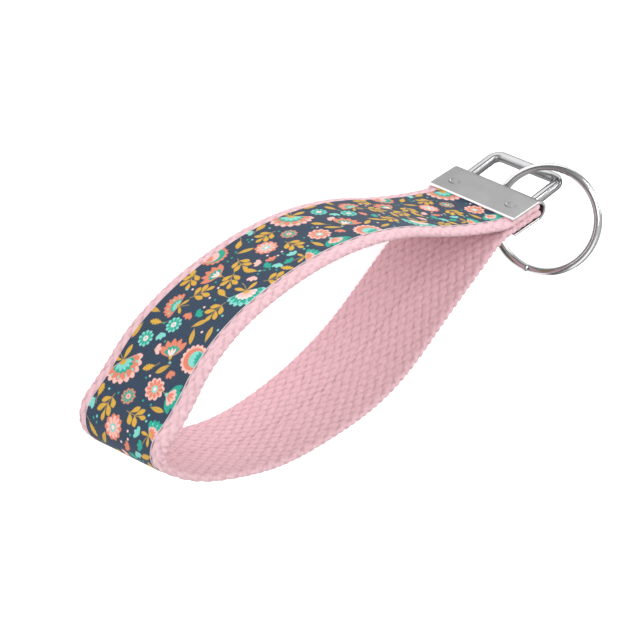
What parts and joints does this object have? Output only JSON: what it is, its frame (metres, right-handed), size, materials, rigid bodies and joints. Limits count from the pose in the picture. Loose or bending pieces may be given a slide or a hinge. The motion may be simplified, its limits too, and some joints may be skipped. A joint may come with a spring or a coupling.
{
  "type": "wristlet keychain",
  "caption": "Wristlet keychain: a webbing strap folded into a wrist loop with a printed ribbon, a metal end clamp, a hinged wire loop and a split ring.",
  "frame": {"origin": "centre of the bounding box's bottom face, on the surface that the strap's lower long edge stands on", "axes": "+X from the split ring to the loop's closed end, +Z across the strap's width, -Y the side the front run bows to"},
  "size_m": [0.151, 0.0516, 0.0431],
  "materials": {
    "webbing": "coarse pink woven webbing",
    "ribbon": "navy ribbed ribbon with a printed flower pattern",
    "clamp_plate": "satin nickel plate",
    "loop_wire": "polished nickel plate",
    "ring_wire": "polished nickel plate"
  },
  "bodies": {
    "strap": {"webbing_strap": "webbing", "printed_ribbon": "ribbon", "clamp": "clamp_plate"},
    "loop": {"wire_loop": "loop_wire"},
    "ring": {"split_ring": "ring_wire"}
  },
  "joints": [
    {"name": "loop_hinge", "type": "hinge", "parent": "strap", "child": "loop", "pos_m": [-0.05849, -0.00115, 0.01588], "axis": [0, 0, 1], "range_deg": [-30, 30]},
    {"name": "ring_swing", "type": "hinge", "parent": "loop", "child": "ring", "pos_m": [-0.07205, -0.00222, 0.01588], "axis": [0, 0, 1], "range_deg": [0, 40]}
  ]
}
